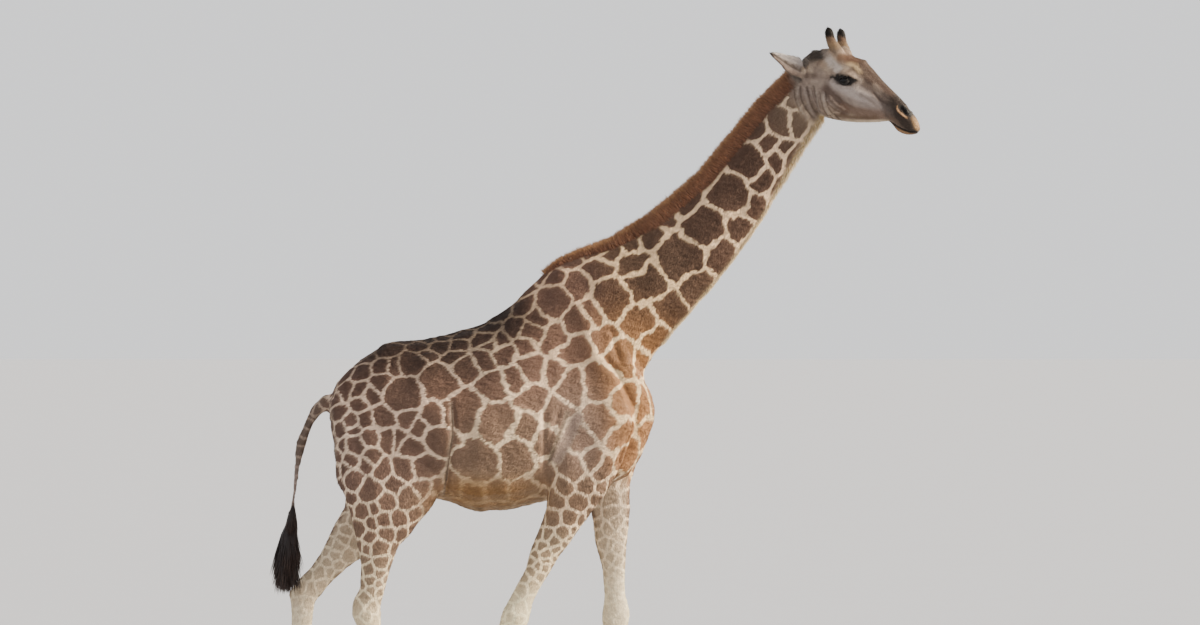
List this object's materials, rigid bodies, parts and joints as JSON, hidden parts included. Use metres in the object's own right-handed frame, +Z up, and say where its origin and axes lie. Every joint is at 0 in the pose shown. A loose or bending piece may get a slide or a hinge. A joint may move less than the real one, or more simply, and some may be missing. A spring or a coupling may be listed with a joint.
{
  "type": "giraffe",
  "caption": "Life-size giraffe cow in mid stride, head turned a little to its right, with thin horns, a short stiff mane, a tufted tail, split hooves and a patched brown and cream coat.",
  "frame": {"origin": "on the floor, under the middle of the animal's bounding box", "axes": "+X the way the animal faces, +Y its left side, +Z up"},
  "size_m": [3.2068, 0.6706, 3.8377],
  "materials": {
    "coat": "short flat hair on skin, brown patches on a cream ground",
    "legs": "short flat hair on skin, cream with faint spots",
    "mane": "stiff upright hair, rufous brown",
    "tuft": "long coarse black hair",
    "claw": "dull dark horn",
    "ossicone": "thin hairy skin over bone, dark tip",
    "eye": "wet, very dark brown"
  },
  "bodies": {
    "root": {"eye_right": "eye", "ossicone_right": "ossicone", "ear_right": "coat", "eye_left": "eye", "ossicone_left": "ossicone", "ear_left": "coat", "tail": "coat", "tail_tuft": "tuft", "claw_fore_right_inner": "claw", "claw_fore_right_outer": "claw", "leg_fore_right_upper": "coat", "leg_fore_right_lower": "legs", "claw_fore_left_inner": "claw", "claw_fore_left_outer": "claw", "leg_fore_left_upper": "coat", "leg_fore_left_lower": "legs", "claw_hind_right_inner": "claw", "claw_hind_right_outer": "claw", "leg_hind_right_upper": "coat", "leg_hind_right_lower": "legs", "claw_hind_left_inner": "claw", "claw_hind_left_outer": "claw", "leg_hind_left_upper": "coat", "leg_hind_left_lower": "legs", "hindquarters": "coat", "barrel": "coat", "forequarters": "coat", "neck_lower": "coat", "neck_upper": "coat", "head": "coat", "mane_upper": "mane", "mane_lower": "mane"}
  },
  "joints": []
}
